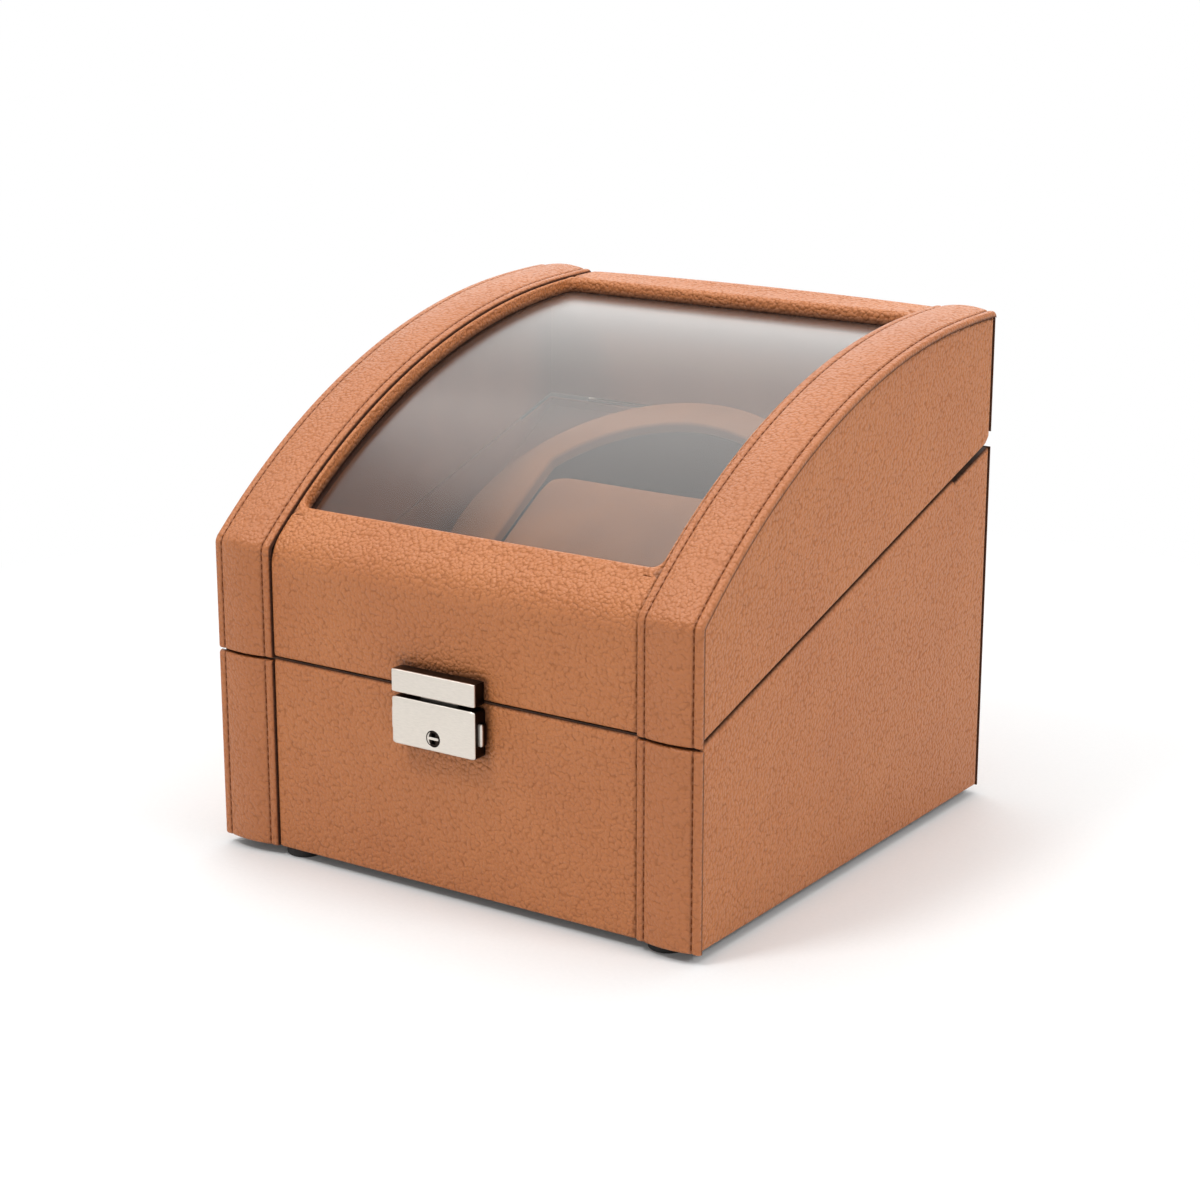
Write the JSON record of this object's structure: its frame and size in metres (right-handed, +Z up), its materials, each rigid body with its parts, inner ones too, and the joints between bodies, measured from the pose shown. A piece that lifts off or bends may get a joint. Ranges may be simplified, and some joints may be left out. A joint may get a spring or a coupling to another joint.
{
  "type": "watch winder",
  "caption": "Leather-wrapped winder box with a curved window in its hinged lid, a front lock and a tilted turning drum with a cushion inside.",
  "frame": {"origin": "on the surface that the feet stand on, under the middle of the box", "axes": "+Z up, +Y to the back, +X to the right as seen from the front"},
  "size_m": [0.18, 0.1881, 0.1661],
  "materials": {
    "tan_leather": "pebbled tan leather",
    "wood_board": "plain fibreboard",
    "dark_suede": "dark brown suede",
    "tan_suede": "tan suede",
    "clear_window": "clear acrylic",
    "nickel": "brushed nickel",
    "spring_steel": "bright spring steel",
    "black_rubber": "matt black rubber",
    "black_plastic": "matt black plastic",
    "white_nylon": "white nylon",
    "bush_brass": "turned brass",
    "motor_steel": "bright steel can",
    "board_green": "green circuit board",
    "screw_steel": "zinc plated steel"
  },
  "bodies": {
    "base": {"base_front_board": "wood_board", "base_back_board": "wood_board", "base_side_board_left": "wood_board", "base_side_board_right": "wood_board", "base_floor": "wood_board", "base_front_cover": "tan_leather", "base_back_cover": "tan_leather", "base_side_cover_left": "tan_leather", "base_side_cover_right": "tan_leather", "base_strap_left": "tan_leather", "base_strap_right": "tan_leather", "base_lining": "dark_suede", "deck": "dark_suede", "lock_case": "nickel", "hinge_base_leaves": "nickel", "hinge_pins": "nickel", "lock_springs": "spring_steel", "lock_rivets": "screw_steel", "hinge_base_screws": "screw_steel", "frame_screws": "screw_steel", "socket_nut": "screw_steel", "rubber_feet": "black_rubber", "mechanism_frame": "black_plastic", "switch_housing": "black_plastic", "power_socket": "black_plastic", "board_standoffs": "white_nylon", "shaft_bushes": "bush_brass", "gear_motor": "motor_steel", "control_board": "board_green"},
    "lid": {"lid_side_board_left": "wood_board", "lid_side_board_right": "wood_board", "lid_top_board": "wood_board", "lid_back_board": "wood_board", "lid_front_cover": "tan_leather", "lid_back_cover": "tan_leather", "lid_side_cover_left": "tan_leather", "lid_side_cover_right": "tan_leather", "lid_strap_left": "tan_leather", "lid_strap_right": "tan_leather", "window_roll_left": "tan_leather", "window_roll_right": "tan_leather", "window": "clear_window", "window_bezel": "dark_suede", "lid_lining": "dark_suede", "hasp": "nickel", "hasp_rivets": "screw_steel", "hinge_lid_leaves": "nickel", "hinge_lid_screws": "screw_steel"},
    "rotor": {"drum_ring": "tan_suede", "drum": "black_plastic", "drum_shaft": "screw_steel", "shaft_clip": "spring_steel", "drive_gear": "white_nylon"},
    "cushion": {"cushion": "tan_suede"},
    "pinion": {"motor_pinion": "white_nylon"},
    "button_left": {"lock_button_left": "nickel"},
    "button_right": {"lock_button_right": "nickel"},
    "key": {"lock_cylinder": "nickel"},
    "rocker": {"switch_rocker": "black_plastic"}
  },
  "joints": [
    {"name": "lid_hinge", "type": "hinge", "parent": "base", "child": "lid", "pos_m": [0, 0.0924, 0.12206], "axis": [-1, 0, 0], "range_deg": [0, 95]},
    {"name": "rotor_spin", "type": "hinge", "parent": "base", "child": "rotor", "pos_m": [0, 0.0071, 0.0945], "axis": [0, -0.527, 0.8499], "continuous": true},
    {"name": "pinion_spin", "type": "hinge", "parent": "base", "child": "pinion", "pos_m": [0.03, 0.0071, 0.0945], "axis": [0, -0.527, 0.8499], "continuous": true},
    {"name": "cushion_slide", "type": "slide", "parent": "rotor", "child": "cushion", "axis": [0, -0.527, 0.8499], "range_m": [0, 0.03]},
    {"name": "button_left_press", "type": "slide", "parent": "base", "child": "button_left", "axis": [1, 0, 0], "range_m": [0, 0.0015], "stiffness_N_per_m": 300, "springref_m": -0.001, "deforming": ["lock_springs"]},
    {"name": "button_right_press", "type": "slide", "parent": "base", "child": "button_right", "axis": [-1, 0, 0], "range_m": [0, 0.0015], "stiffness_N_per_m": 300, "springref_m": -0.001, "deforming": ["lock_springs"]},
    {"name": "key_turn", "type": "hinge", "parent": "base", "child": "key", "pos_m": [-0.0013, -0.0933, 0.0529], "axis": [0, -1, 0], "range_deg": [0, 90]},
    {"name": "switch_rock", "type": "hinge", "parent": "base", "child": "rocker", "pos_m": [-0.042, 0.0875, 0.024], "axis": [0, 0, 1], "range_deg": [-8, 8]}
  ],
  "couplings": [
    {"joint": "pinion_spin", "follows": "rotor_spin", "ratio": -3.2857}
  ]
}
